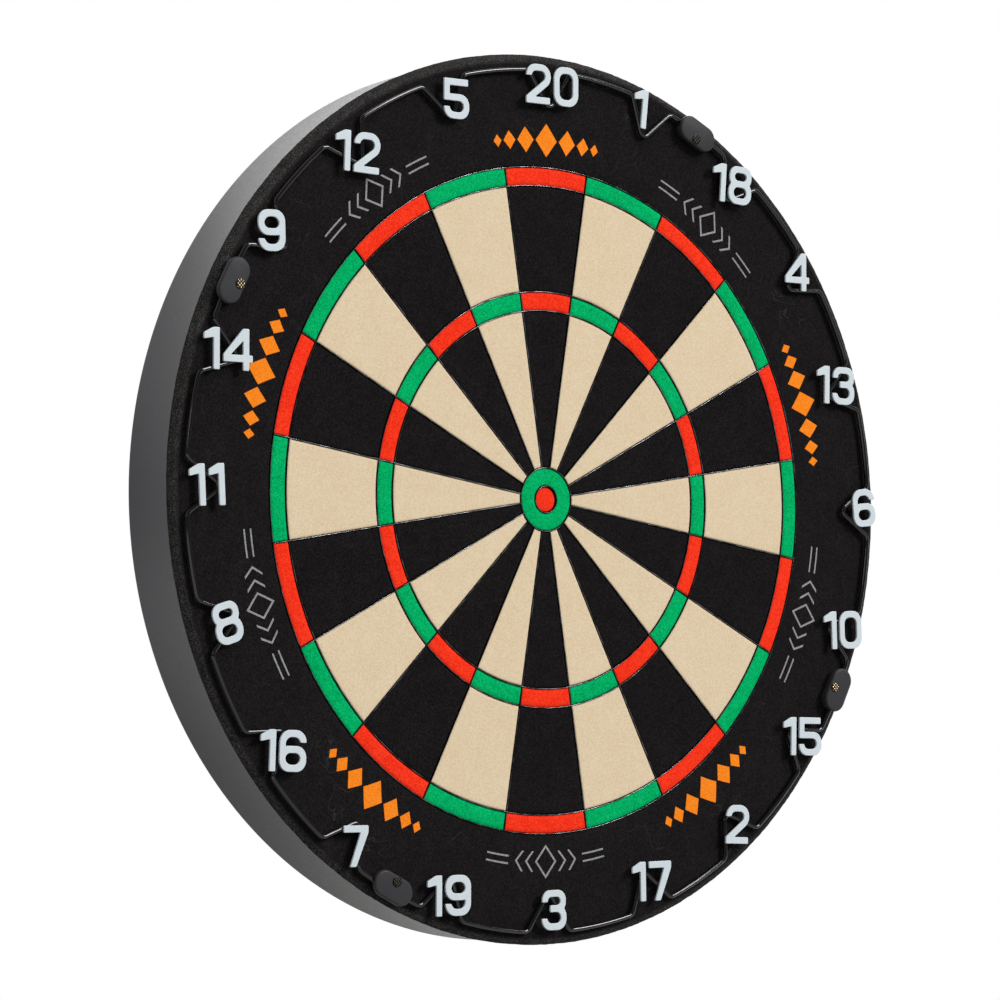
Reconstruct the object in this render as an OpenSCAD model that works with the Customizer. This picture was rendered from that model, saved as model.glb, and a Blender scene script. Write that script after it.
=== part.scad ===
// Steel-tip bristle dartboard: a disc of pressed fibre in a steel band, parted into dyed beds by a
// spider of thin blades, with a lift-off wire number ring held by four nailed clips.
// The playing face looks along -Y, +Y goes into the wall, +Z is up, and the origin lies on the
// bull's axis, on the outer face of the hanging screw's head.

/* [Board] */
// Diameter over the steel band
board_d = 452; // [440:1:470]
// Depth from the playing face to the back
board_t = 40; // [36:1:46]
// Thickness of the chipboard at the back
backing_t = 10; // [6:0.5:12]
// How far the fibre stands proud of the band's front edge
fibre_proud = 6; // [4:0.5:9]
// Width of the fibre's broken front edge
fibre_edge = 3.4; // [2:0.1:3.6]
// How far the fibre swells out over the band's front edge
lip_out = 1.9; // [0.5:0.1:3]
// Sheet thickness of the steel band
band_t = 0.8; // [0.5:0.1:1.5]
// Gap between the band and the fibre
band_fit = 0.2; // [0.1:0.05:0.4]

/* [Beds] */
// Outer edge radius of the double beds
double_r = 170; // [165:0.5:174]
// Radial width of the double beds
double_w = 8.7; // [7:0.1:12]
// Outer edge radius of the treble beds
treble_r = 106; // [95:0.5:115]
// Radial width of the treble beds
treble_w = 8.8; // [7:0.1:12]
// Outer edge radius of the outer bull
bull_r = 15.8; // [14:0.1:18]
// Radius of the inner bull
eye_r = 6.4; // [5.5:0.1:8]
// How far the inner bull sits below the face
eye_drop = 0.5; // [0:0.1:1.5]
// Depth of the dyed beds, and of the blades that part them
bed_depth = 10; // [8:0.5:12]

/* [Blades] */
// Thickness of a blade
blade_t = 0.7; // [0.4:0.05:1]
// Thickness left along a blade's sharpened front edge
blade_tip_t = 0.25; // [0.1:0.05:0.35]
// How far a blade stands proud of the face
blade_proud = 0.5; // [0.2:0.1:1]
// Gap between a blade and what lies beside it
blade_gap = 0.1; // [0.05:0.05:0.2]

/* [Number ring] */
// Distance from the board's edge in to the wire's centre line
ring_inset = 6; // [5:0.25:8]
// Diameter of the wire
wire_d = 2.4; // [2:0.1:3]
// Height of the wire's centre line above the face
wire_h = 2.3; // [2:0.1:3]
// Depth of the dip that carries a numeral
dip_depth = 18; // [15:0.5:21]
// Angle between a dip's straight leg and the radius
dip_lean = 34; // [30:1:38]
// Bend radius at the bottom of a dip, on the centre line
dip_tip_r = 3; // [2:0.25:4]
// Bend radius where a dip meets the outer arc, on the centre line
dip_bend_r = 4; // [3:0.25:6]

/* [Numerals] */
// Height of a numeral
num_h = 20.4; // [18:0.2:22]
// Width of a round digit
num_w = 15.8; // [14.5:0.1:17]
// Width of the digit one
one_w = 9; // [8:0.1:10.5]
// Stroke width of the digits
num_s = 3.5; // [3:0.1:4]
// Outer corner radius of the round digits
num_r = 6.2; // [5.8:0.1:6.8]
// Space between the two digits of a number
num_space = 2.2; // [1.6:0.1:3]
// Sheet thickness of a numeral
num_t = 1.2; // [0.8:0.1:2]
// Distance from the wire's outer arc in to the middle of a numeral
num_inset = 10; // [8:0.5:11]
// Weld gap between a numeral's back and the wire
weld_gap = 0.05; // [0.02:0.01:0.1]

/* [Clips] */
// Length of a clip along the wire
clip_l = 24.4; // [20:0.2:28]
// Width of a clip across the wire
clip_w = 13.4; // [12.6:0.2:16]
// How far a clip's middle lies inside the wire's centre line
clip_shift = 1.2; // [0.6:0.1:1.6]
// Thickness of the clip over the wire
clip_cover = 1.7; // [1.2:0.1:2.5]
// Thickness of the clip's cap at its edge
clip_rim_t = 2.4; // [2:0.1:3.2]
// How far the clip's heel and lip stand in from its cap's edge
heel_inset = 1.2; // [0.4:0.1:1.4]
// Rounding of the clip's front edge
clip_edge_r = 1.2; // [0.6:0.1:1.6]
// Height of the clip's outer lip above the face
clip_lip_h = 1.8; // [1:0.1:2.4]
// Gap between the clip's groove and the wire
wire_gap = 0.3; // [0.2:0.05:0.4]
// Gap between a clip and the face, and between a nail's head and its clip
seat_gap = 0.05; // [0.02:0.01:0.1]
// Distance from the wire's centre line in to a clip's nail
nail_inset = 4.7; // [4:0.1:5]
// Diameter of a clip nail
nail_d = 2; // [1.6:0.1:2.4]
// Diameter of a clip nail's head
nail_head_d = 5; // [4:0.1:5.2]
// Thickness of a clip nail's head at its rim
nail_head_t = 0.6; // [0.4:0.1:1]
// Crown of a clip nail's head above its rim
nail_crown = 0.3; // [0.1:0.05:0.5]
// Depth of a clip nail in the fibre
nail_depth = 8; // [5:0.5:9]
// Length of a nail's point
nail_point = 2.5; // [1.5:0.25:4]
// Gap round a nail in its hole
nail_gap = 0.15; // [0.1:0.05:0.25]

/* [Hanging] */
// Diameter of the hanging screw's head
screw_head_d = 12; // [10:0.5:14]
// Thickness of the hanging screw's head
screw_head_t = 3.5; // [2.5:0.25:4.5]
// Diameter of the hanging screw's shank
screw_d = 5.5; // [4.5:0.1:6.5]
// Space under the head for the wall bracket's plate
screw_gap = 5; // [3:0.25:7]
// Length of the hanging screw inside the board
screw_depth = 22; // [18:0.5:24]
// Length of the hanging screw's point
screw_point = 6; // [4:0.5:8]
// Depth of the cross recess in the hanging screw's head
recess_depth = 2; // [1:0.25:2.25]
// Length of one bar of the cross recess
recess_l = 6; // [5:0.25:7]
// Width of one bar of the cross recess
recess_w = 1.2; // [0.8:0.1:1.6]
// Gap round the hanging screw in its hole
screw_fit = 0.1; // [0.05:0.05:0.2]
// Distance of the wall feet from the bull's axis
foot_pitch_r = 185; // [150:1:200]
// Diameter of a wall foot at the board
foot_d = 22; // [18:0.5:28]
// Diameter of a wall foot at the wall
foot_tip_d = 18; // [15:0.5:18]
// Height of a wall foot
foot_h = 11; // [10:0.25:14]
// Diameter of the recess for a foot's nail head
foot_sink_d = 7; // [6:0.25:9]
// Depth of the recess for a foot's nail head
foot_sink = 6; // [3:0.25:7]
// Diameter of a foot's nail head
foot_nail_head_d = 5; // [4:0.1:5.8]
// Thickness of a foot's nail head
foot_nail_head_t = 0.8; // [0.5:0.1:1.5]
// Depth of a foot's nail in the backing board
foot_nail_depth = 6; // [4:0.25:8]

/* [Hidden] */
// Order of the numbers, clockwise from the top. They were welded on by hand, so each has its tilt in
// degrees, then how far it lies outwards of its circle and clockwise of its dip, in millimetres
numerals = [
    [20, 0, 2.5, 0.5], [1, -6, 4, -7.5], [18, -4, 0, -2], [4, 0, 0.5, -4.5], [13, -1, -3.5, -4],
    [6, 6, 5.5, -2], [10, 2, 0, -0.5], [15, -1, -0.5, -2], [2, -2, -1, -2.5], [17, 1, -3, -3],
    [3, 1, -1, -2], [19, 0, 0, -0.5], [7, 0, 2, -4.5], [16, -2, -2, -6], [8, 17, -2, -1.5],
    [11, 3, -0.5, 0.5], [14, 0, -1.5, 2], [9, 2, 3.5, 0], [12, -2, -2.5, 0.5], [5, 0, -1, 4]
];
// The clips were nailed on by hand too, each this far clockwise of the middle of its arc, in millimetres
clip_slips = [-2, -3, -0.5, 0.5];
sectors = len(numerals);
pitch = 360 / sectors;
clips = len(clip_slips);
feet = 3;
small_fn = 48;
large_fn = 180;
cut = 1;

// Depths, along the axis from the playing face
back_y = -(screw_gap + screw_head_t);
face_y = back_y - board_t;
core_t = board_t - bed_depth - backing_t;
fibre_r = board_d / 2 - band_t - band_fit;
lip_r = board_d / 2 + lip_out;
lip_back = -fibre_proud + band_fit;

// The beds stop half a slot short of every blade's middle
slot = blade_t + 2 * blade_gap;
double_outer_r = double_r + slot / 2;
double_inner_r = double_r - double_w - slot / 2;
treble_outer_r = treble_r + slot / 2;
treble_inner_r = treble_r - treble_w - slot / 2;
bull_outer_r = bull_r + slot / 2;
bull_inner_r = eye_r + slot / 2;
crossing_r = [treble_inner_r, treble_outer_r, double_inner_r];
lap = (bed_depth + blade_proud) / 2;

// Number ring
ring_r = board_d / 2 - ring_inset;
wire_sides = 8;
tip_c = [0, ring_r - dip_depth + dip_tip_r];
tip_end = tip_c + dip_tip_r * [cos(dip_lean), -sin(dip_lean)];
leg_dir = [sin(dip_lean), cos(dip_lean)];
bend_base = tip_end + dip_bend_r * [cos(dip_lean), -sin(dip_lean)];
// The bend's middle lies a bend radius inside the outer arc, so the leg's length is the root of a square
leg_l = -bend_base * leg_dir
    + sqrt(pow(bend_base * leg_dir, 2) - bend_base * bend_base + pow(ring_r - dip_bend_r, 2));
bend_c = bend_base + leg_l * leg_dir;
bend_end_a = atan2(bend_c[0], bend_c[1]);
tip_steps = 2;
bend_steps = 3;
arc_steps = 2;
numeral_h = wire_h + wire_d / 2 + weld_gap;

// Clips
clip_h = wire_h + wire_d / 2 + wire_gap + clip_cover;
clip_r = ring_r - clip_shift;
nail_r = ring_r - nail_inset;
groove_w = wire_d + 2 * wire_gap;
clip_start_a = 1.5 * pitch;
nail_bore_d = nail_d + 2 * nail_gap;

// Placing

// Local x is right, y is up and z comes out of the playing face
module on_face() translate([0, face_y, 0]) rotate([90, 0, 0]) children();

// Local z comes out of the back, towards the wall
module on_back() translate([0, back_y, 0]) rotate([-90, 0, 0]) children();

// Turns clockwise from the top, as the numbers run
module clockwise(a) rotate([0, 0, -a]) children();

// A tube's wall, standing on z = 0
module tube(r_in, r_out, h) linear_extrude(h) difference() {
    circle(r_out, $fn = large_fn);
    circle(r_in, $fn = large_fn);
}

// Board

module backing_board() color("burlywood") on_back() difference() {
    translate([0, 0, -backing_t]) cylinder(r = fibre_r, h = backing_t, $fn = large_fn);
    translate([0, 0, -backing_t - cut])
        cylinder(d = screw_d + 2 * screw_fit, h = backing_t + 2 * cut, $fn = small_fn);
    each_foot() translate([0, 0, -foot_nail_depth - nail_gap])
        cylinder(d = nail_bore_d, h = foot_nail_depth + nail_gap + cut, $fn = small_fn);
}

module bristle_core() color("darkkhaki") on_back() difference() {
    translate([0, 0, -backing_t - core_t]) cylinder(r = fibre_r, h = core_t, $fn = large_fn);
    translate([0, 0, -screw_depth - screw_fit])
        cylinder(d = screw_d + 2 * screw_fit, h = screw_depth, $fn = small_fn);
}

// The black border swells out over the band. It has a broken front edge and a hole for each clip's nail
module border_bristle() color("#1b1a1b") on_face() difference() {
    rotate_extrude($fn = large_fn) polygon([
        [double_r + slot, 0], [double_r + slot, -bed_depth], [fibre_r, -bed_depth], [fibre_r, lip_back],
        [board_d / 2, lip_back], [lip_r, -fibre_edge], [lip_r - fibre_edge, 0]
    ]);
    each_clip() translate([0, nail_r, -nail_depth - nail_gap])
        cylinder(d = nail_bore_d, h = nail_depth + nail_gap + cut, $fn = small_fn);
}

module steel_band() color("#4a4a4d") on_back() translate([0, 0, -(board_t - fibre_proud)])
    tube(board_d / 2 - band_t, board_d / 2, board_t - fibre_proud);

// Beds

// A sector's outline with both sides drawn in by half a slot
module wedge() {
    apex = slot / 2 / sin(pitch / 2);
    reach = 2 * double_r;
    half_w = (reach - apex) * tan(pitch / 2);
    polygon([[0, apex], [half_w, reach], [-half_w, reach]]);
}

module bed(r_in, r_out) translate([0, 0, -bed_depth]) linear_extrude(bed_depth) intersection() {
    difference() {
        circle(r_out, $fn = large_fn);
        circle(r_in, $fn = large_fn);
    }
    wedge();
}

// Every second sector, from the first one given
module every_second(first) for (k = [first : 2 : sectors - 1]) clockwise(k * pitch) children();

module single_beds(first) on_face() every_second(first) {
    bed(bull_r + slot, treble_r - treble_w - slot);
    bed(treble_r + slot, double_r - double_w - slot);
}

module ring_beds(first) on_face() every_second(first) {
    bed(treble_r - treble_w, treble_r);
    bed(double_r - double_w, double_r);
}

module black_beds() color("#1b1a1b") single_beds(0);

module cream_beds() color("#e3cfab") single_beds(1);

module red_beds() color("#fb2d14") ring_beds(0);

module green_beds() color("#04a85b") ring_beds(1);

module outer_bull() color("#04a85b") on_face() translate([0, 0, -bed_depth])
    tube(eye_r + slot, bull_r, bed_depth);

module inner_bull() color("#fb2d14") on_face() translate([0, 0, -bed_depth])
    cylinder(r = eye_r, h = bed_depth - eye_drop, $fn = small_fn);

// Blades

// Flat sides with a sharpened front edge, seen along the blade
module blade_section() polygon([
    [-blade_t / 2, -bed_depth], [blade_t / 2, -bed_depth], [blade_t / 2, 0],
    [blade_tip_t / 2, blade_proud], [-blade_tip_t / 2, blade_proud], [-blade_t / 2, 0]
]);

module plain_ring_blade(r) rotate_extrude($fn = large_fn) translate([r, 0]) blade_section();

// A ring blade with half-lap notches in its back edge, where the radial blades cross it
module ring_blade(r) color("#2b2b2d") on_face() difference() {
    plain_ring_blade(r);
    for (k = [0 : sectors - 1]) clockwise((k + 0.5) * pitch)
        translate([-slot / 2, r - slot, -bed_depth - cut])
        cube([slot, 2 * slot, bed_depth + blade_proud - lap + blade_gap + cut]);
}

module double_outer_blade() color("#2b2b2d") on_face() plain_ring_blade(double_outer_r);

module double_inner_blade() ring_blade(double_inner_r);

module treble_outer_blade() ring_blade(treble_outer_r);

module treble_inner_blade() ring_blade(treble_inner_r);

module bull_outer_blade() color("#2b2b2d") on_face() plain_ring_blade(bull_outer_r);

module bull_inner_blade() color("#2b2b2d") on_face() plain_ring_blade(bull_inner_r);

// Each radial blade runs from the bull to the double ring, notched in front where it crosses a ring
module radial_blade() difference() {
    translate([0, bull_r + slot, 0]) rotate([90, 0, 180])
        linear_extrude(double_r - bull_r - slot) blade_section();
    for (r = crossing_r) translate([-slot, r - slot / 2, blade_proud - lap])
        cube([2 * slot, slot, lap + cut]);
}

module radial_blades() color("#2b2b2d") on_face()
    for (k = [0 : sectors - 1]) clockwise((k + 0.5) * pitch) radial_blade();

// Number ring

// Points of one arc, as positions in the plane of the ring with the radius' direction in degrees
function arc_points(c, r, from, to, steps) = [for (i = [0 : steps])
    let (a = from + (to - from) * i / steps) [c[0] + r * cos(a), c[1] + r * sin(a), a]];

// Half a dip: the tip's bend, then the bend onto the outer arc, then the arc to the next sector.
// The two bends curve opposite ways, so the second one's direction is turned by half a circle.
tip_half = arc_points(tip_c, dip_tip_r, -90, -dip_lean, tip_steps);
bend_half = [for (p = arc_points(bend_c, dip_bend_r, 180 - dip_lean, 90 - bend_end_a, bend_steps))
    [p[0], p[1], p[2] - 180]];
arc_half = [for (i = [1 : arc_steps])
    let (a = 90 - bend_end_a - (pitch / 2 - bend_end_a) * i / arc_steps)
    [ring_r * cos(a), ring_r * sin(a), a - 180]];
right_half = concat(tip_half, bend_half, arc_half);
// The left half mirrors the right one, without its two shared end points
left_half = [for (i = [len(right_half) - 2 : -1 : 1])
    [-right_half[i][0], right_half[i][1], 180 - right_half[i][2]]];
dip_path = concat(left_half, right_half);
function turned(p, a) = [p[0] * cos(a) + p[1] * sin(a), p[1] * cos(a) - p[0] * sin(a), p[2] - a];
ring_path = [for (k = [0 : sectors - 1], p = dip_path) turned(p, k * pitch)];

// One closed tube: a polygon of wire_sides corners stands across the path at each of its points
module number_wire() color("#17171a") on_face() {
    rings = len(ring_path);
    points = [for (p = ring_path, j = [0 : wire_sides - 1])
        let (b = 360 * (j + 0.5) / wire_sides, w = wire_d / 2 / cos(180 / wire_sides))
        [p[0] + w * cos(b) * cos(p[2]), p[1] + w * cos(b) * sin(p[2]), wire_h + w * sin(b)]];
    faces = [for (i = [0 : rings - 1], j = [0 : wire_sides - 1])
        let (n = (i + 1) % rings, m = (j + 1) % wire_sides)
        [i * wire_sides + j, n * wire_sides + j, n * wire_sides + m, i * wire_sides + m]];
    polyhedron(points, faces, convexity = 20);
}

// Digits, each standing on y = 0 with its left edge on x = 0

module rounded(w, h, r) {
    translate([r, 0]) square([w - 2 * r, h]);
    translate([0, r]) square([w, h - 2 * r]);
    for (x = [r, w - r], y = [r, h - r]) translate([x, y]) circle(r, $fn = small_fn);
}

// A closed stroke round a rounded rectangle
module loop(w, h, r) difference() {
    rounded(w, h, r);
    translate([num_s, num_s])
        rounded(w - 2 * num_s, h - 2 * num_s, min(r - 0.8 * num_s, 0.49 * (h - 2 * num_s)));
}

lower_h = 0.53 * (num_h + num_s);
upper_h = num_h + num_s - lower_h;
hook_h = 0.3 * num_h;
bar_y = 0.2 * num_h;
four_x = 0.72 * num_w;
four_w = four_x + 1.6 * num_s;

module lower_bowl(w) loop(w, lower_h, 0.45 * lower_h);

module digit_0() loop(num_w, num_h, num_r);

module digit_1() polygon([
    [one_w - num_s, 0], [one_w, 0], [one_w, num_h], [one_w - num_s, num_h],
    [0, num_h - 0.8 * num_s], [0, num_h - 1.7 * num_s], [one_w - num_s, num_h - 1.4 * num_s]
]);

// The top of a two: two circles with a bar over them
module two_top(r) {
    for (x = [num_r, num_w - num_r]) translate([x, num_h - num_r]) circle(r, $fn = small_fn);
    translate([num_r, num_h - num_r]) square([num_w - 2 * num_r, r]);
}

// The diagonal leaves the right-hand circle at a tangent and runs down to the foot's upper left corner
module digit_2() {
    bowl = [num_w - num_r, num_h - num_r];
    fall = [bowl[0], bowl[1] - num_s];
    lean = acos((num_r - num_s) / norm(fall)) - atan2(fall[0], fall[1]);
    side = [sin(lean), -cos(lean)];
    outer = bowl + num_r * side;
    inner = bowl + (num_r - num_s) * side;
    square([0.97 * num_w, num_s]);
    polygon([[0, 0], [outer[0] - outer[1] / tan(lean), 0], outer, inner, [0, num_s]]);
    difference() {
        two_top(num_r);
        two_top(num_r - num_s);
        polygon([
            bowl, bowl + num_h * side, [-num_h, -num_h], [-num_h, num_h - hook_h],
            [bowl[0], num_h - hook_h]
        ]);
    }
}

module digit_3() {
    difference() {
        digit_8();
        translate([-cut, hook_h]) square([num_w / 2 + cut, num_h - 2 * hook_h]);
    }
    translate([0.34 * num_w, lower_h - num_s]) square([0.3 * num_w, num_s]);
}

module digit_4() difference() {
    polygon([
        [four_x, num_h], [four_x + num_s, num_h], [four_x + num_s, bar_y + num_s], [four_w, bar_y + num_s],
        [four_w, bar_y], [four_x + num_s, bar_y], [four_x + num_s, 0], [four_x, 0], [four_x, bar_y],
        [0, bar_y], [0, bar_y + num_s]
    ]);
    polygon([[four_x, num_h - 1.7 * num_s], [four_x, bar_y + num_s], [1.2 * num_s, bar_y + num_s]]);
}

module digit_5() {
    difference() {
        lower_bowl(num_w);
        translate([-cut, hook_h]) square([num_w / 2 + cut, lower_h]);
    }
    translate([0, lower_h - num_s]) square([0.55 * num_w, num_s]);
    translate([0, lower_h - num_s]) square([num_s, num_h - lower_h + num_s]);
    translate([0, num_h - num_s]) square([0.95 * num_w, num_s]);
}

module digit_6() {
    difference() {
        digit_0();
        translate([num_w - 1.2 * num_s, lower_h / 2])
            square([1.2 * num_s + cut, num_h - lower_h / 2 - hook_h]);
    }
    lower_bowl(num_w);
}

module digit_7() polygon([
    [0, num_h], [0.94 * num_w, num_h], [0.94 * num_w, num_h - num_s], [0.48 * num_w, 0],
    [0.48 * num_w - 1.05 * num_s, 0], [0.94 * num_w - 1.35 * num_s, num_h - num_s], [0, num_h - num_s]
]);

module digit_8() {
    lower_bowl(num_w);
    translate([0.02 * num_w, num_h - upper_h]) loop(0.96 * num_w, upper_h, 0.45 * upper_h);
}

module digit_9() translate([num_w, num_h]) rotate(180) digit_6();

module digit(d) {
    if (d == 0) digit_0();
    if (d == 1) digit_1();
    if (d == 2) digit_2();
    if (d == 3) digit_3();
    if (d == 4) digit_4();
    if (d == 5) digit_5();
    if (d == 6) digit_6();
    if (d == 7) digit_7();
    if (d == 8) digit_8();
    if (d == 9) digit_9();
}

function digit_w(d) = d == 1 ? one_w : d == 4 ? four_w : num_w;

// A number of one or two digits, centred
module number(n) {
    tens = floor(n / 10);
    units = n % 10;
    tens_w = tens > 0 ? digit_w(tens) + num_space : 0;
    translate([-(tens_w + digit_w(units)) / 2, -num_h / 2]) {
        if (tens > 0) digit(tens);
        translate([tens_w, 0]) digit(units);
    }
}

// Numerals stand upright all round the ring, behind which the wire's dip passes
module numeral(k) color("#d3dce2") on_face()
    clockwise(k * pitch) translate([numerals[k][3], ring_r - num_inset + numerals[k][2], numeral_h])
    clockwise(-k * pitch) rotate([0, 0, numerals[k][1]]) linear_extrude(num_t) number(numerals[k][0]);

// Clips

module at_clip(k) clockwise(clip_start_a + (k - 1) * 360 / clips + clip_slips[k - 1] / ring_r * 180 / PI)
    children();

module each_clip() for (k = [1 : clips]) at_clip(k) children();

// Half a section across the clip: a cap with a rounded front edge, on a body set in from it
module clip_section() {
    half_w = clip_w / 2;
    heel_w = half_w - heel_inset;
    under = clip_h - clip_rim_t;
    polygon(concat(
        [[0, clip_h], [0, seat_gap], [heel_w, seat_gap], [heel_w, under], [half_w, under]],
        [for (a = [0 : 22.5 : 90]) [half_w, clip_h] + clip_edge_r * [cos(a) - 1, sin(a) - 1]]
    ));
}

// A long oval cap with a heel on the face, a groove over the wire and a lip outside it
module clip_cap(k) color("#3f3f42") on_face() at_clip(k) difference() {
    translate([0, clip_r, 0]) {
        run = clip_l - clip_w;
        translate([run / 2, 0, 0]) rotate_extrude(angle = 180, start = -90, $fn = small_fn) clip_section();
        translate([-run / 2, 0, 0]) rotate_extrude(angle = 180, start = 90, $fn = small_fn) clip_section();
        translate([-run / 2, 0, 0]) rotate([90, 0, 90]) linear_extrude(run) {
            clip_section();
            mirror([1, 0]) clip_section();
        }
    }
    translate([0, 0, -cut]) tube(ring_r - groove_w / 2, ring_r + groove_w / 2, clip_h - clip_cover + cut);
    translate([-clip_l, ring_r, -cut]) cube([2 * clip_l, clip_w, clip_lip_h + cut]);
    translate([0, nail_r, -cut]) cylinder(d = nail_bore_d, h = clip_h + 2 * cut, $fn = small_fn);
}

// A nail along z: point down, with the underside of its crowned head on z = 0
module nail(l, head_d, head_t, crown) {
    rotate_extrude($fn = small_fn) polygon([
        [0, -l], [nail_d / 2, -l + nail_point], [nail_d / 2, 0], [head_d / 2, 0],
        [head_d / 2, head_t], [head_d / 4, head_t + 0.75 * crown], [0, head_t + crown]
    ]);
}

module clip_nail(k) color("#77705f") on_face() at_clip(k) translate([0, nail_r, clip_h + seat_gap])
    nail(clip_h + seat_gap + nail_depth, nail_head_d, nail_head_t, nail_crown);

// Hanging

module hanging_screw() color("silver") on_back() difference() {
    rotate_extrude($fn = small_fn) polygon([
        [0, -screw_depth], [screw_d / 2, -screw_depth + screw_point], [screw_d / 2, screw_gap],
        [screw_head_d / 2, screw_gap], [screw_head_d / 2, screw_gap + screw_head_t],
        [0, screw_gap + screw_head_t]
    ]);
    for (a = [0, 90]) rotate([0, 0, a])
        translate([-recess_l / 2, -recess_w / 2, screw_gap + screw_head_t - recess_depth])
        cube([recess_l, recess_w, recess_depth + cut]);
}

// Three places round the back, one of them at the bottom
module each_foot() for (k = [0 : feet - 1]) rotate([0, 0, 90 + k * 360 / feet])
    translate([foot_pitch_r, 0, 0]) children();

module wall_feet() color("#2e2e30") on_back() each_foot() difference() {
    cylinder(d1 = foot_d, d2 = foot_tip_d, h = foot_h, $fn = small_fn);
    translate([0, 0, -cut]) cylinder(d = nail_bore_d, h = foot_h + 2 * cut, $fn = small_fn);
    translate([0, 0, foot_h - foot_sink]) cylinder(d = foot_sink_d, h = foot_sink + cut, $fn = small_fn);
}

module foot_nails() color("silver") on_back() each_foot() translate([0, 0, foot_h - foot_sink + seat_gap])
    nail(foot_h - foot_sink + seat_gap + foot_nail_depth, foot_nail_head_d, foot_nail_head_t, nail_crown);

backing_board();
bristle_core();
border_bristle();
cream_beds();
black_beds();
red_beds();
green_beds();
outer_bull();
inner_bull();
steel_band();
double_outer_blade();
double_inner_blade();
treble_outer_blade();
treble_inner_blade();
bull_outer_blade();
bull_inner_blade();
radial_blades();
hanging_screw();
wall_feet();
foot_nails();
number_wire();
for (k = [0 : sectors - 1])
    numeral(k);
for (k = [1 : clips])
    clip_cap(k);
for (k = [1 : clips])
    clip_nail(k);
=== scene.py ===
import bmesh
import bpy
import numpy as np
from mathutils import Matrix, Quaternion, Vector
from mathutils.geometry import tessellate_polygon


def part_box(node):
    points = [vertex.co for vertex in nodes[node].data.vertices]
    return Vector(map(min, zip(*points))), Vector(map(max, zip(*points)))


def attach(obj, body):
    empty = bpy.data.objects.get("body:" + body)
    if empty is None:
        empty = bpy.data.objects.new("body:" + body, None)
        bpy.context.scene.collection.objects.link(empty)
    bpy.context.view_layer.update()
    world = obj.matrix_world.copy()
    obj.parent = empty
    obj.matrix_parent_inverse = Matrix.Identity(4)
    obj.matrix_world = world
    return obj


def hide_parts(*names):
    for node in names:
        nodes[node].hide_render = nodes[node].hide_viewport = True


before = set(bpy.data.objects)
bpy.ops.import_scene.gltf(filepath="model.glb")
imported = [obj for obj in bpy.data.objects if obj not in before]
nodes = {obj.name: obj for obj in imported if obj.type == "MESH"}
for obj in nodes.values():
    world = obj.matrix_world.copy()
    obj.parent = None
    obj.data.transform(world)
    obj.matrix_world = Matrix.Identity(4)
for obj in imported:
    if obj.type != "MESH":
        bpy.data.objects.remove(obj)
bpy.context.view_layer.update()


# Backing board
# A sawn disc of chipboard: wood flakes pressed with glue. The band is fixed round it, the hanging screw is
# turned into it, and only its raw back shows.
MM = 0.001


def linear(colour):
    """An sRGB hex colour as linear RGBA: each channel goes through the standard curve's power of 2.4."""
    srgb = np.array([int(colour[k:k + 2], 16) for k in (1, 3, 5)]) / 255
    return (*np.where(srgb <= 0.04045, srgb / 12.92, ((srgb + 0.055) / 1.055) ** 2.4), 1.0)


def feed(tree, node, inputs):
    """Gives each of a node's inputs its value, or a link from the socket that feeds it. By number, 1 to 4 are
    a range's limits before and after, and 0, 6 and 7 are a colour mix's share and its two colours."""
    for key, value in dict(inputs).items():
        if isinstance(value, bpy.types.NodeSocket):
            tree.links.new(value, node.inputs[key])
        else:
            node.inputs[key].default_value = value


def add(tree, kind, inputs=(), **settings):
    """Adds a node with its settings and feeds its inputs."""
    made = tree.nodes.new("ShaderNode" + kind)
    for name, value in settings.items():
        setattr(made, name, value)
    feed(tree, made, inputs)
    return made


def new_material(name, sockets):
    """A material with one shader. What is the same all over it is set on the shader's own sockets."""
    made = bpy.data.materials.new(name)
    made.use_nodes = True
    shader = made.node_tree.nodes["Principled BSDF"]
    feed(made.node_tree, shader, sockets)
    return made, made.node_tree, shader


def place_mm(tree):
    """The point's place on the object in millimetres, so that a pattern's scale is one over its real size."""
    place = add(tree, "TexCoord").outputs["Object"]
    return add(tree, "VectorMath", {0: place, "Scale": 1 / MM}, operation="SCALE").outputs["Vector"]


def dress(name, material):
    """Gives a solid that keeps showing its finish."""
    nodes[name].data.materials.clear()
    nodes[name].data.materials.append(material)


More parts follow.
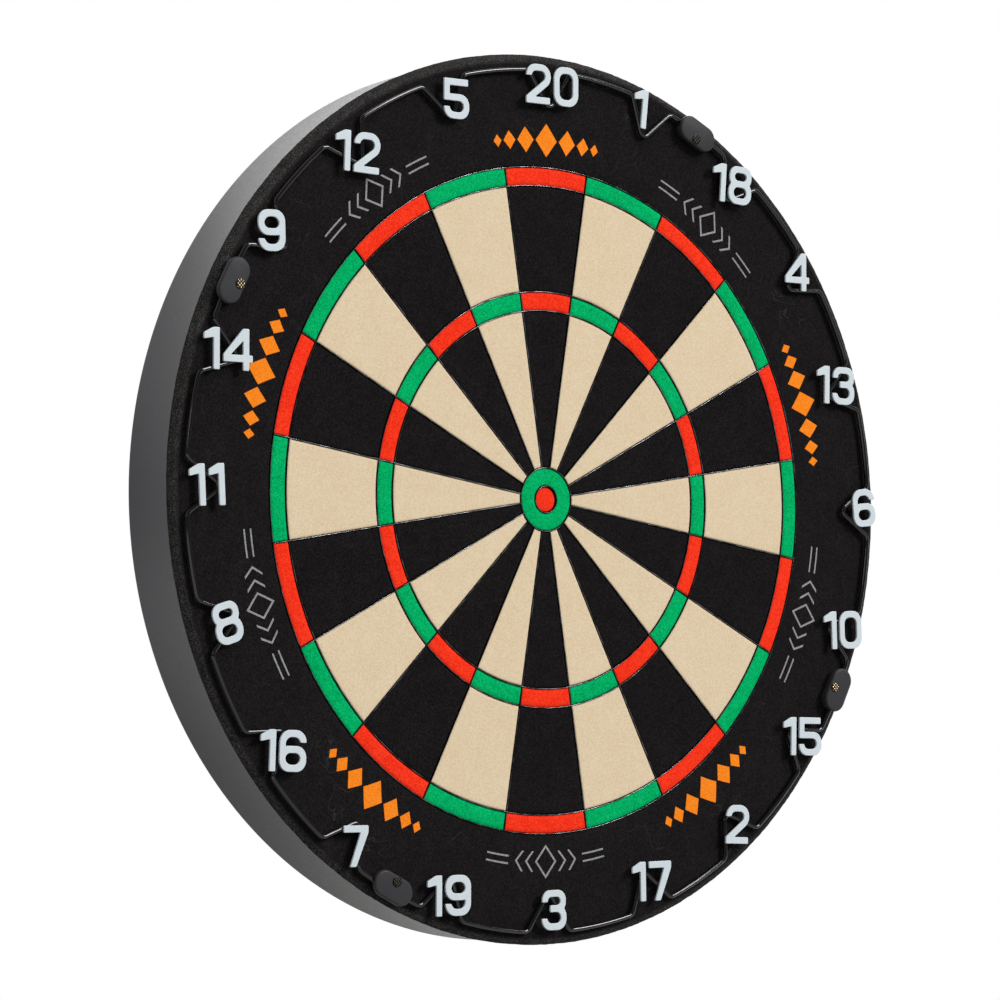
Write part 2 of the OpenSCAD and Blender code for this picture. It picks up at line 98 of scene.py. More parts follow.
def chipboard():
    """Raw chipboard: slivers of wood laid three ways, the pale ones on top, with pores between them."""
    sliver_mm = (7.0, 7.0, 1.7)
    lie_deg = (20, 80, 140)
    warp_mm, bend_mm = 10.0, 2.0
    pore_mm = 0.8
    pore_low, pore_high, pore_shade, wood_shade = 0.3, 0.6, 0.72, 1.04
    made, tree, shader = new_material("raw_chipboard", {"Roughness": 0.82, "Specular IOR Level": 0.25})
    place = place_mm(tree)
    warp = add(tree, "TexNoise", {"Vector": place, "Scale": 1 / warp_mm, "Detail": 2.0}).outputs["Color"]
    bent = add(tree, "VectorMath", {0: warp, 1: (bend_mm,) * 3, 2: place}, operation="MULTIPLY_ADD")
    tone = 0.0
    for turn in np.radians(lie_deg):
        laid = add(tree, "Mapping", {"Vector": bent.outputs["Vector"], "Rotation": (0, turn, 0),
                                     "Scale": sliver_mm}, vector_type="TEXTURE")
        slivers = add(tree, "TexVoronoi", {"Vector": laid.outputs["Vector"], "Scale": 1.0})
        shade = add(tree, "SeparateColor", {0: slivers.outputs["Color"]}).outputs["Red"]
        tone = add(tree, "Math", {0: tone, 1: shade}, operation="MAXIMUM").outputs[0]
    wood = add(tree, "Mix", {0: tone, 6: linear("#7a5c38"), 7: linear("#cfb486")}, data_type="RGBA")
    pores = add(tree, "TexNoise", {"Vector": place, "Scale": 1 / pore_mm, "Detail": 3.0})
    shade = add(tree, "MapRange", {"Value": pores.outputs["Fac"], 1: pore_low, 2: pore_high,
                                   3: pore_shade, 4: wood_shade})
    colour = add(tree, "Mix", {0: 1.0, 6: wood.outputs[2], 7: shade.outputs["Result"]},
                 data_type="RGBA", blend_type="MULTIPLY")
    height = add(tree, "Math", {0: pores.outputs["Fac"], 1: tone}, operation="ADD")
    bump = add(tree, "Bump", {"Strength": 0.35, "Distance": 0.3 * MM, "Height": height.outputs[0]})
    feed(tree, shader, {"Base Color": colour.outputs[2], "Normal": bump.outputs["Normal"]})
    return made


dress("backing_board", chipboard())


# Fibre core
# The undyed back of the disc: sisal bundles stood on end and pressed under the band. Nothing shows it, but
# it is dressed as what it is.
def fibre_colour(tree, place, dye, pale, dark, fleck_share, grain_mm=0.75):
    """Fibre ends that took the dye unevenly: a fine grain from dark to pale round the dye's colour, soft
    patches about a centimetre wide, and scattered darker ends. Gives the colour and the grain's height.
    A fibre end is about 0.25 mm across; the grain is drawn three times as coarse, so that it shows."""
    patch_mm, patch_share = 11.0, 0.2
    tone_low, tone_high = 0.375, 0.825
    fleck_mm = 2.6
    fleck_core, fleck_rim = 0.1, 0.24
    grain = add(tree, "TexNoise", {"Vector": place, "Scale": 1 / grain_mm, "Detail": 2.0, "Roughness": 0.6})
    patch = add(tree, "TexNoise", {"Vector": place, "Scale": 1 / patch_mm, "Detail": 3.0, "Roughness": 0.6})
    tone = add(tree, "Math", {0: patch.outputs["Fac"], 1: patch_share, 2: grain.outputs["Fac"]},
               operation="MULTIPLY_ADD")
    spread = add(tree, "MapRange", {"Value": tone.outputs[0], 1: tone_low, 2: tone_high})
    ramp = add(tree, "ValToRGB", {0: spread.outputs["Result"]})
    ramp.color_ramp.elements[0].color = linear(dark)
    ramp.color_ramp.elements[1].color = linear(pale)
    ramp.color_ramp.elements.new(0.5).color = linear(dye)
    fleck = add(tree, "TexVoronoi", {"Vector": place, "Scale": 1 / fleck_mm}).outputs["Distance"]
    spot = add(tree, "MapRange", {"Value": fleck, 1: fleck_core, 2: fleck_rim, 3: fleck_share, 4: 0.0})
    colour = add(tree, "Mix", {0: spot.outputs["Result"], 6: ramp.outputs["Color"], 7: linear(dark)},
                 data_type="RGBA")
    return colour.outputs[2], grain.outputs["Fac"]


def pressed_fibre(name, dye, pale, dark, fleck_share):
    """Pressed sisal, sawn and ground flat: dull as felt, because light is lost between the fibre ends."""
    made, tree, shader = new_material(name, {"Roughness": 0.95, "Specular IOR Level": 0.03})
    colour, grain = fibre_colour(tree, place_mm(tree), dye, pale, dark, fleck_share)
    bump = add(tree, "Bump", {"Strength": 0.3, "Distance": 0.25 * MM, "Height": grain})
    feed(tree, shader, {"Base Color": colour, "Normal": bump.outputs["Normal"]})
    return made


dress("bristle_core", pressed_fibre("undyed_sisal", "#b7a178", "#cdb88e", "#8f7a55", 0.5))


# Black border
# The outer ring of the fibre disc, dyed black. Its front edge stands proud of the band and laps over it, cut
# to a slope and left rough. It was pressed in a little askew, so it stands further out at the top.
face_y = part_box("border_bristle")[0].y
lip_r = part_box("border_bristle")[1].x
bed_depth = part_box("border_bristle")[1].y - face_y
band_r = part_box("steel_band")[1].x
band_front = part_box("steel_band")[0].y - face_y
border_in_r = 170.9 * MM
askew = 2.5 * MM
merge = 0.002 * MM
clip_count = 4


def full_turn(steps):
    """Even steps of angle round a full turn, the last of them one step short of the first."""
    return np.linspace(0, 2 * np.pi, steps, endpoint=False)


def on_face(radius, clockwise, out):
    """Points on the board: a radius, an angle clockwise from the top, and a height out of the face."""
    radius, clockwise, out = np.broadcast_arrays(radius, clockwise, out)
    return np.stack([radius * np.sin(clockwise), face_y - out, radius * np.cos(clockwise)], -1)


def grid_quads(rows, columns, closed_rows=False, closed_columns=False):
    """Quads between neighbours in a grid of points. A closed direction joins its last line to its first."""
    row = np.arange(rows if closed_rows else rows - 1)[:, None]
    column = np.arange(columns if closed_columns else columns - 1)[None, :]
    next_row = (row + 1) % rows * columns
    next_column = (column + 1) % columns
    row = row * columns
    corners = np.broadcast_arrays(row + column, next_row + column, next_row + next_column, row + next_column)
    return np.stack(corners, -1).reshape(-1, 4)


def shaded(name, mesh, work, material, crease_deg):
    """An object from a mesh and the work done on it, smooth where faces meet below the crease angle."""
    work.to_mesh(mesh)
    work.free()
    mesh.polygons.foreach_set("use_smooth", np.ones(len(mesh.polygons), bool))
    mesh.set_sharp_from_angle(angle=np.radians(crease_deg))
    mesh.materials.append(material)
    made = bpy.data.objects.new(name, mesh)
    bpy.context.scene.collection.objects.link(made)
    return made


def new_piece(name, points, faces, material, body, slot, replaced, crease_deg=40):
    """A mesh piece from points and arrays of faces: its doubles are merged and its faces turned outwards, and
    it rides on its body in place of the solids that it stands for."""
    mesh = bpy.data.meshes.new(name)
    corners = [face for part in faces for face in part.tolist()]
    mesh.from_pydata(np.reshape(points, (-1, 3)).tolist(), [], corners)
    work = bmesh.new()
    work.from_mesh(mesh)
    bmesh.ops.remove_doubles(work, verts=work.verts, dist=merge)
    bmesh.ops.recalc_face_normals(work, faces=work.faces)
    made = shaded(name, mesh, work, material, crease_deg)
    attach(made, body)
    if replaced:
        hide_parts(replaced)
    return made


def rounded(corners, cuts, steps=4):
    """A closed outline with soft corners: each corner gives way to the parabola that leaves its two sides at
    the cut's distance from it."""
    corners = np.array(corners)
    cuts = np.array(cuts)[:, None]
    before = np.roll(corners, 1, 0) - corners
    after = np.roll(corners, -1, 0) - corners
    start = corners + before * cuts / np.linalg.norm(before, axis=1, keepdims=True)
    end = corners + after * cuts / np.linalg.norm(after, axis=1, keepdims=True)
    t = np.linspace(0, 1, steps)[:, None, None]
    curves = (1 - t) ** 2 * start + 2 * t * (1 - t) * corners + t ** 2 * end
    return curves.transpose(1, 0, 2).reshape(-1, 2)


def lengths(line):
    """How far along a line each of its points lies: the sum of the steps up to it."""
    return np.append(0, np.cumsum(np.linalg.norm(np.diff(line, axis=0), axis=1)))


def points_at(spots, along, line):
    """The points that lie at the given lengths along a line, in proportion between its own points."""
    return np.stack([np.interp(spots, along, line[:, k]) for k in (0, 1)], -1)


def rough(rows, columns, seed, cells):
    """Seeded noise between -1 and 1 on a grid that closes along its columns: random values on a coarser grid,
    joined by cosine steps."""
    values = np.random.default_rng(seed).uniform(-1, 1, (cells[0] + 1, cells[1]))
    row = np.linspace(0, cells[0], rows, endpoint=False)[:, None]
    column = np.linspace(0, cells[1], columns, endpoint=False)[None, :]
    i, j = row.astype(int), column.astype(int)
    u, v = (1 - np.cos(np.pi * (row - i))) / 2, (1 - np.cos(np.pi * (column - j))) / 2
    k = (j + 1) % cells[1]
    low = values[i, j] * (1 - v) + values[i, k] * v
    high = values[i + 1, j] * (1 - v) + values[i + 1, k] * v
    return low * (1 - u) + high * u


def nail_axis(number):
    """Where a clip nail goes into the face: the middle of its solid's box, across and up."""
    low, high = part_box(f"clip_nail_{number}")
    return (low.x + high.x) / 2, (low.z + high.z) / 2


def border_material():
    """Black dyed sisal. The sawn face is near black with pale scuffs; the rough edge is a grainy dark grey.
    Each clip's nail hole is painted shade: a near-black spot as wide as its shank, closed up a little by the
    fibre, where the face itself has no hole."""
    scuff_mm, scuff_line, scuff_share = 26.0, 0.0045, 0.5
    where_mm, where_low, where_high = 32.5, 0.52, 0.68
    hole_shade_mm, closed_mm = 1.0, 0.6
    edge_from_mm, edge_to_mm = 222.8, 225.0
    made, tree, shader = new_material("black_sisal_border", {"Roughness": 0.95, "Specular IOR Level": 0.03})
    place = place_mm(tree)
    face, grain = fibre_colour(tree, place, "#1a1819", "#272425", "#100f10", 0.5)
    lines = add(tree, "TexNoise", {"Vector": place, "Scale": 1 / scuff_mm, "Detail": 4.0, "Distortion": 0.6})
    from_line = add(tree, "Math", {0: lines.outputs["Fac"], 1: 0.5, 2: scuff_line}, operation="COMPARE")
    where = add(tree, "TexNoise", {"Vector": place, "Scale": 1 / where_mm, "Detail": 1.0}).outputs["Fac"]
    some = add(tree, "MapRange", {"Value": where, 1: where_low, 2: where_high, 3: 0.0, 4: scuff_share})
    scuff = add(tree, "Math", {0: from_line.outputs[0], 1: some.outputs["Result"]}, operation="MULTIPLY")
    face = add(tree, "Mix", {0: scuff.outputs[0], 6: face, 7: linear("#3a3636")}, data_type="RGBA")
    edge, coarse = fibre_colour(tree, place, "#2c2b2a", "#565453", "#171616", 0.7, grain_mm=0.6)
    flat = add(tree, "VectorMath", {0: place, 1: (1, 0, 1)}, operation="MULTIPLY")
    radius = add(tree, "VectorMath", {0: flat.outputs["Vector"]}, operation="LENGTH")
    at_edge = add(tree, "MapRange", {"Value": radius.outputs["Value"], 1: edge_from_mm, 2: edge_to_mm})
    colour = add(tree, "Mix", {0: at_edge.outputs["Result"], 6: face.outputs[2], 7: edge}, data_type="RGBA")
    # Painted shade: a near-black spot at each nail stands in for the dark inside its hole, which the face
    # does not have.
    hole_shade = 0.0
    for number in range(1, clip_count + 1):
        x, z = nail_axis(number)
        middle = (x / MM, 0, z / MM)
        away = add(tree, "VectorMath", {0: flat.outputs["Vector"], 1: middle}, operation="DISTANCE")
        spot = add(tree, "MapRange", {"Value": away.outputs["Value"], 1: closed_mm, 2: hole_shade_mm,
                                      3: 1.0, 4: 0.0})
        hole_shade = add(tree, "Math", {0: hole_shade, 1: spot.outputs["Result"]}, operation="MAXIMUM").outputs[0]
    colour = add(tree, "Mix", {0: hole_shade, 6: colour.outputs[2], 7: linear("#020202")}, data_type="RGBA")
    height = add(tree, "Math", {0: coarse, 1: at_edge.outputs["Result"], 2: grain}, operation="MULTIPLY_ADD")
    bump = add(tree, "Bump", {"Strength": 0.5, "Distance": 0.25 * MM, "Height": height.outputs[0]})
    feed(tree, shader, {"Base Color": colour.outputs[2], "Normal": bump.outputs["Normal"]})
    return made


def border():
    """A closed outline turned about the axis: the inner wall, the face, the sloping edge, its seat on the
    band and the outer wall. Noise of two sizes pushes the slope in and out, and fades out on the face and at
    the seat. The cosine of the angle lifts the edge towards the top and draws it back with the band."""
    face_end = 224.5 * MM
    slope_drop = 3.4 * MM
    seat_drop = band_front - 0.2 * MM
    wall_r = band_r - 1.0 * MM
    soft = np.array([0, 0.4, 1.6, 0.8, 0.2, 0, 0]) * MM
    rough_start = 220.0 * MM
    rough_fade = 4.0 * MM
    roughness = 0.2 * MM
    fine_cells, coarse_cells = 700, 260
    fine_share = 0.6
    lift = 0.9 * MM
    row_gap = 0.5 * MM
    face_rows = 8
    steps = 1200
    outline = rounded([(border_in_r, -bed_depth), (border_in_r, 0), (face_end, 0), (lip_r, -slope_drop),
                       (band_r, -seat_drop), (wall_r, -seat_drop), (wall_r, -bed_depth)], soft)
    along = lengths(outline)
    start = bed_depth + rough_start - border_in_r
    corner = start + face_end - rough_start
    stop = corner + np.hypot(lip_r - face_end, slope_drop) + np.hypot(lip_r - band_r, seat_drop - slope_drop)
    flat, slope = np.linspace(bed_depth, start, face_rows), np.arange(start, stop, row_gap)
    spots = np.sort(np.concatenate([along, flat, slope]))
    radius, out = points_at(spots, along, outline).T[..., None]
    strength = np.interp(spots, [start, start + rough_fade, stop - 2 * row_gap, stop], [0, 1, 1, 0])
    push = roughness * strength[:, None]
    rows = len(spots)
    outward, forward = (rough(rows, steps, seed, (rows // 2, fine_cells)) * fine_share
                        + rough(rows, steps, seed + 1, (rows // 5, coarse_cells)) * (1 - fine_share)
                        for seed in (3, 5))
    clockwise = full_turn(steps)
    raised = np.interp(spots, [start, start + rough_fade, stop, along[-1]], [0, lift, lift, 0])[:, None]
    drawn = np.interp(spots, [corner, stop, along[-1]], [0, askew, 0])[:, None]
    points = on_face(radius + push * outward + raised * np.cos(clockwise), clockwise,
                     out + push * forward - drawn * np.cos(clockwise))
    quads = grid_quads(rows, steps, closed_rows=True, closed_columns=True)
    new_piece("black_border", points, [quads], border_material(), "board", "fibre_black", "border_bristle")


border()


# Marks on the border
# Plain ornaments screen-printed on the black fibre: rows of orange lozenges, and between them an open grey
# lozenge with chevrons and hairlines.
mark_r = 184.5 * MM
mark_film = 0.05 * MM
mark_count = 5
mark_turn = np.radians(360 / mark_count)


def slab(top, under):
    """A closed slab: two grids of points, one over the other, joined along their edges."""
    rows, columns = top.shape[:2]
    ids = np.arange(rows * columns).reshape(rows, columns)
    rim = np.concatenate([ids[0, :], ids[1:, -1], ids[-1, -2::-1], ids[-2:0:-1, 0]])
    onward = np.roll(rim, -1)
    count = rows * columns
    quads = grid_quads(rows, columns)
    walls = np.stack([onward, rim, rim + count, onward + count], -1)
    points = np.concatenate([top.reshape(-1, 3), under.reshape(-1, 3)])
    return points, np.concatenate([quads, quads[:, ::-1] + count, walls])


def several(parts):
    """Joins closed shapes into one set of points and quads."""
    starts = np.cumsum([0] + [len(points) for points, _ in parts])
    quads = np.concatenate([quads + start for (_, quads), start in zip(parts, starts)])
    return np.concatenate([points for points, _ in parts]), [quads]


def film(clockwise, across, up):
    """A printed shape as a thin slab: across and up are its grid round a mark's middle, along the ring."""
    radius = mark_r + up
    angle = clockwise + across / mark_r
    return slab(on_face(radius, angle, mark_film), on_face(radius, angle, -mark_film))


def lozenge(clockwise, middle, half_w, half_h):
    """A solid lozenge: a grid whose two directions run along its sides."""
    steps = 5
    side = np.linspace(0, 1, steps)
    s, t = np.meshgrid(side, side, indexing="ij")
    return film(clockwise, middle + (s - t) * half_w, (s + t - 1) * half_h)


def open_lozenge(clockwise, half_w, half_h, stroke):
    """A lozenge's outline: a flat section, carried round four corners."""
    corner = np.radians(np.arange(0, 360, 90))
    size = 1 - np.array([0, stroke, stroke, 0])[:, None] / half_w
    across, up = size * half_w * np.sin(corner), size * half_h * np.cos(corner)
    out = np.array([1, 1, -1, -1])[:, None] * mark_film
    points = on_face(mark_r + up, clockwise + across / mark_r, out)
    return points.reshape(-1, 3), grid_quads(4, 4, closed_rows=True, closed_columns=True)


def print_orange():
    """Rows of seven lozenges that shrink away from the middle one, with even gaps between their tips."""
    half_h = np.array([8.6, 6.6, 4.8, 3.2]) * MM
    slim = 0.8
    half_w = slim * half_h
    gap = 1.3 * MM
    middles = np.append(0, np.cumsum(half_w[:-1] + gap + half_w[1:]))
    parts = [lozenge(turn * mark_turn, side * middle, w, h) for turn in range(mark_count)
             for middle, w, h in zip(middles, half_w, half_h) for side in ((1, -1) if middle else (1,))]
    ink = pressed_fibre("orange_ink_on_sisal", "#f8861f", "#fd9632", "#e87512", 0.2)
    new_piece("border_lozenges", *several(parts), ink, "board", None, None)


def print_grey():
    """An open lozenge, two chevrons that point away from it on each side, and a pair of hairlines."""
    half_w, half_h = 6.9 * MM, 8.6 * MM
    stroke = 1.3 * MM
    chevron = np.array([[-1, 0, 1]]) * 5.2 * MM
    chevron_at = np.array([12.0, 18.5]) * MM
    chevron_lean = 0.8
    hairline = np.linspace(24.0, 38.0, 9) * MM
    hairline_up = 1.9 * MM
    hairline_half = 0.45 * MM
    parts = []
    for turn in range(mark_count):
        middle = (turn + 0.5) * mark_turn
        parts.append(open_lozenge(middle, half_w, half_h, stroke))
        for side in (-1, 1):
            for at in chevron_at:
                edge = side * (at - chevron_lean * np.abs(chevron) + np.array([[0.0], [stroke]]))
                parts.append(film(middle, edge, np.repeat(chevron, 2, 0)))
            for line in (-1, 1):
                edges = line * hairline_up + hairline_half * np.array([-1, 1])
                parts.append(film(middle, *np.meshgrid(side * hairline, edges)))
    ink = pressed_fibre("grey_ink_on_sisal", "#929294", "#a2a2a4", "#7c7c7f", 0.2)
    new_piece("border_hairlines", *several(parts), ink, "board", None, None)


print_orange()
print_grey()


# Beds
# The dyed sisal between the blades. Each blade was pressed into the fibre, so a bed's edge rolls down beside
# it. Black and cream singles alternate, with red and green in the double and treble rings.
sectors = 20
sector = np.radians(360 / sectors)
slot_w = 0.9 * MM
bull_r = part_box("outer_bull")[1].x
treble_r = (97.2 * MM, 106.0 * MM)
double_r = (161.3 * MM, 170.0 * MM)
single_r = ((bull_r + slot_w, treble_r[0] - slot_w), (treble_r[1] + slot_w, double_r[0] - slot_w))


def bed(number, radii):
    """One bed: rows of points from ring to ring and columns across the sector, drawn close at the edges.
    The sides run half a slot from the sector's lines, and the top rolls down within the edge's width."""
    edge_w = 0.9 * MM
    edge_drop = 0.35 * MM
    row_gap, least_rows, columns = 2.5 * MM, 4, 22
    rows = least_rows + int((radii[1] - radii[0]) / row_gap)
    near = np.sin(np.linspace(-np.pi / 2, np.pi / 2, rows)) / 2 + 0.5
    radius = (radii[0] + (radii[1] - radii[0]) * near)[:, None]
    half_turn = sector / 2 - np.arcsin(slot_w / 2 / radius)
    turn = np.sin(np.linspace(-np.pi / 2, np.pi / 2, columns)) * half_turn
    to_side = radius * np.sin(sector / 2 - np.abs(turn)) - slot_w / 2
    to_ring = np.minimum(radius - radii[0], radii[1] - radius)
    inside = np.clip(np.minimum(to_side, to_ring) / edge_w, 0, 1)
    drop = edge_drop * (1 - np.sqrt(1 - (1 - inside) ** 2))
    clockwise = number * sector + turn
    return slab(on_face(radius, clockwise, -drop), on_face(radius, clockwise, -bed_depth))


def beds(name, first, rings, material, slot):
    """Every second sector's beds in the given rings, as one piece."""
    parts = [bed(number, radii) for number in range(first, sectors, 2) for radii in rings]
    new_piece(name, *several(parts), material, "board", slot, name, crease_deg=60)


red_sisal = pressed_fibre("red_sisal", "#f7341b", "#fd4a2c", "#da230f", 0.4)
green_sisal = pressed_fibre("green_sisal", "#01ac61", "#0bc475", "#018449", 0.45)
black_sisal = pressed_fibre("black_sisal", "#181617", "#262324", "#0e0d0e", 0.5)
cream_sisal = pressed_fibre("cream_sisal", "#ddc9a9", "#e4d3b7", "#d3bc97", 0.25)
beds("black_beds", 0, single_r, black_sisal, "fibre_black")
beds("cream_beds", 1, single_r, cream_sisal, "fibre_cream")
beds("red_beds", 0, (treble_r, double_r), red_sisal, "fibre_red")
beds("green_beds", 1, (treble_r, double_r), green_sisal, "fibre_green")


# Bull
# A green ring and a red eye of the same fibre. The eye is cut apart inside its blade and sits a little lower.
eye_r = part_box("inner_bull")[1].x
eye_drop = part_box("inner_bull")[0].y - face_y


def turned(name, outline, material, slot, steps=128):
    """A closed outline of radii and heights out of the face, turned about the axis."""
    points = on_face(outline[:, :1], full_turn(steps), outline[:, 1:])
    quads = grid_quads(len(outline), steps, closed_rows=True, closed_columns=True)
    new_piece(name, points, [quads], material, "board", slot, name)


def bull(name, inner_r, outer_r, drop, soft_mm, material, slot):
    """A bull's outline: two walls and a flat top, with the softness of its inner and its outer edge."""
    outline = rounded([(inner_r, -bed_depth), (inner_r, -drop), (outer_r, -drop), (outer_r, -bed_depth)],
                      np.array([0, *soft_mm, 0]) * MM, steps=5)
    turned(name, outline, material, slot)


bull("outer_bull", eye_r + slot_w, bull_r, 0, (0.6, 0.6), green_sisal, "fibre_green")
bull("inner_bull", 0, eye_r, eye_drop, (0, 0.9), red_sisal, "fibre_red")


# Steel band
# Strip steel rolled into a hoop, painted satin dark grey. It clamps the fibre and the chipboard. Rolling
# leaves the strip a little hollow between its two edges, which are rounded off.
def band_paint():
    """Satin paint on rolled steel: a clear sheen at a low angle, with the paint's fine orange peel."""
    peel_mm = 1.3
    low, high, shiny, dull = 0.35, 0.65, 0.36, 0.44
    made, tree, shader = new_material("satin_grey_paint", {"Base Color": linear("#36363b"), "IOR": 1.5})
    peel = add(tree, "TexNoise", {"Vector": place_mm(tree), "Scale": 1 / peel_mm, "Detail": 2.0})
    matt = add(tree, "MapRange", {"Value": peel.outputs["Fac"], 1: low, 2: high, 3: shiny, 4: dull})
    bump = add(tree, "Bump", {"Strength": 0.12, "Distance": 0.05 * MM, "Height": peel.outputs["Fac"]})
    feed(tree, shader, {"Roughness": matt.outputs["Result"], "Normal": bump.outputs["Normal"]})
    return made


def band():
    """A strip's section with four soft corners, turned about the axis. A parabola from edge to edge makes it
    hollow. The front edge follows the fibre askew: the further a point lies from the back, the more the
    cosine of the angle moves it."""
    sheet_t = 0.8 * MM
    corner = 0.3 * MM
    hollow = 0.5 * MM
    row_gap = 2.0 * MM
    steps = 720
    back = face_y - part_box("steel_band")[1].y
    outline = rounded([(band_r, back), (band_r - sheet_t, back), (band_r - sheet_t, -band_front),
                       (band_r, -band_front)], np.full(4, corner), steps=6)
    outline = np.vstack([outline, outline[:1]])
    along = lengths(outline)
    spots = np.union1d(along[:-1], np.arange(0, along[-1], row_gap))
    radius, out = points_at(spots, along, outline).T[..., None]
    clockwise = full_turn(steps)
    share = (out - back) / (-band_front - back)
    sunk = hollow * 4 * share * (1 - share)
    points = on_face(radius - sunk, clockwise, out - askew * share * np.cos(clockwise))
    quads = grid_quads(len(spots), steps, closed_rows=True, closed_columns=True)
    new_piece("band", points, [quads], band_paint(), "board", "band_paint", "steel_band")


band()


# Blades
# Thin spring steel strips on edge, half-lapped together and pressed into the fibre. Their front edges are
# ground to a round nose, where the black coat is worn and the steel catches the light.
def blade_steel():
    """Blacked spring steel. The coat is worn off in streaks where the edge stands out of the face."""
    streak_mm = 6.0
    streak_low, streak_high, least_worn = 0.42, 0.62, 0.15
    coat_mm, bare_mm = 0.15, 0.4
    face_mm = face_y / MM
    made, tree, shader = new_material("blacked_spring_steel", {"Metallic": 1.0, "Roughness": 0.2})
    place = place_mm(tree)
    depth = add(tree, "SeparateXYZ", {0: place}).outputs["Y"]
    proud = add(tree, "Math", {0: depth, 1: -1.0}, operation="MULTIPLY").outputs[0]
    edge = add(tree, "MapRange", {"Value": proud, 1: coat_mm - face_mm, 2: bare_mm - face_mm})
    streak = add(tree, "TexNoise", {"Vector": place, "Scale": 1 / streak_mm, "Detail": 3.0}).outputs["Fac"]
    worn = add(tree, "MapRange", {"Value": streak, 1: streak_low, 2: streak_high, 3: least_worn, 4: 1.0})
    bare = add(tree, "Math", {0: edge.outputs["Result"], 1: worn.outputs["Result"]}, operation="MULTIPLY")
    colour = add(tree, "Mix", {0: bare.outputs[0], 6: linear("#18181b"), 7: linear("#78787c")},
                 data_type="RGBA")
    feed(tree, shader, {"Base Color": colour.outputs[2]})
    return made


def blade_outline():
    """A blade's section, as places across it and heights out of the face: flat sides, then a round nose."""
    half_t, half_tip, proud = 0.35 * MM, 0.125 * MM, 0.5 * MM
    soft = np.array([0, 0.05, 0.12, 0.12, 0.05, 0]) * MM
    return rounded([(-half_t, -bed_depth), (-half_t, 0), (-half_tip, proud), (half_tip, proud), (half_t, 0),
                    (half_t, -bed_depth)], soft, steps=5)


def radial_blades(material):
    """The section drawn out along each line between two sectors, from the bull to the double ring, with flat
    ends. A point's radius and angle are those of its place along the line and across it."""
    across, out = (blade_outline()[:, k, None] for k in (0, 1))
    along = np.array([bull_r + slot_w, double_r[1]])
    count = len(across)
    ends = np.arange(count) * 2 + [[0], [1]]
    radius, turn = np.hypot(along, across), np.arctan2(across, along)
    points = [on_face(radius, (k + 0.5) * sector + turn, out) for k in range(sectors)]
    quads = grid_quads(count, 2, closed_rows=True)
    faces = [part + 2 * count * k for k in range(sectors) for part in (quads, ends)]
    new_piece("radial_blades", np.stack(points), faces, material, "board", "blade_black", "radial_blades")


blade_finish = blade_steel()
for blade, radius in (("double_outer_blade", double_r[1] + slot_w / 2),
                      ("double_inner_blade", double_r[0] - slot_w / 2),
                      ("treble_outer_blade", treble_r[1] + slot_w / 2),
                      ("treble_inner_blade", treble_r[0] - slot_w / 2),
                      ("bull_outer_blade", bull_r + slot_w / 2),
                      ("bull_inner_blade", eye_r + slot_w / 2)):
    turned(blade, blade_outline() + [radius, 0], blade_finish, "blade_black", steps=360)
radial_blades(blade_finish)


# Hanging screw and wall feet
# A zinc plated screw in the middle of the back hangs the board in its wall bracket, and three nailed rubber
# feet hold it off the wall.
def zinc_plate():
    """Bright zinc plating: a pale metal with a faint cloudy bloom."""
    bloom_mm = 1.5
    low, high, shiny, dull = 0.3, 0.7, 0.22, 0.4
    made, tree, shader = new_material("zinc_plate", {"Metallic": 1.0})
    bloom = add(tree, "TexNoise", {"Vector": place_mm(tree), "Scale": 1 / bloom_mm, "Detail": 3.0})
    colour = add(tree, "Mix", {0: bloom.outputs["Fac"], 6: linear("#a9adb2"), 7: linear("#cdd0d3")},
                 data_type="RGBA")
    matt = add(tree, "MapRange", {"Value": bloom.outputs["Fac"], 1: low, 2: high, 3: shiny, 4: dull})
    feed(tree, shader, {"Base Color": colour.outputs[2], "Roughness": matt.outputs["Result"]})
    return made


def moulded_rubber():
    """Moulded rubber: dull near-black with a fine eroded-mould grain and a little grey bloom."""
    grit_mm = 0.6
    made, tree, shader = new_material("moulded_rubber", {"Roughness": 0.72, "Specular IOR Level": 0.35})
    grit = add(tree, "TexNoise", {"Vector": place_mm(tree), "Scale": 1 / grit_mm, "Detail": 2.0})
    colour = add(tree, "Mix", {0: grit.outputs["Fac"], 6: linear("#262628"), 7: linear("#37373a")},
                 data_type="RGBA")
    bump = add(tree, "Bump", {"Strength": 0.3, "Distance": 0.1 * MM, "Height": grit.outputs["Fac"]})
    feed(tree, shader, {"Base Color": colour.outputs[2], "Normal": bump.outputs["Normal"]})
    return made


zinc = zinc_plate()
dress("hanging_screw", zinc)
dress("foot_nails", zinc)
dress("wall_feet", moulded_rubber())


# Number ring
# One closed hoop of steel wire, coated gloss black. Between its outer arcs it is bent into a rounded V behind
# each number, which is welded on there.
wire_r = (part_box("number_wire")[1].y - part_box("number_wire")[0].y) / 2
wire_out = face_y - (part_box("number_wire")[1].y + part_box("number_wire")[0].y) / 2


def wire_arc(centre, radius, angle, normal):
    """Points on an arc in the ring's plane, each with the angle of the path's normal there."""
    return np.stack([centre[0] + radius * np.cos(angle), centre[1] + radius * np.sin(angle), normal], -1)


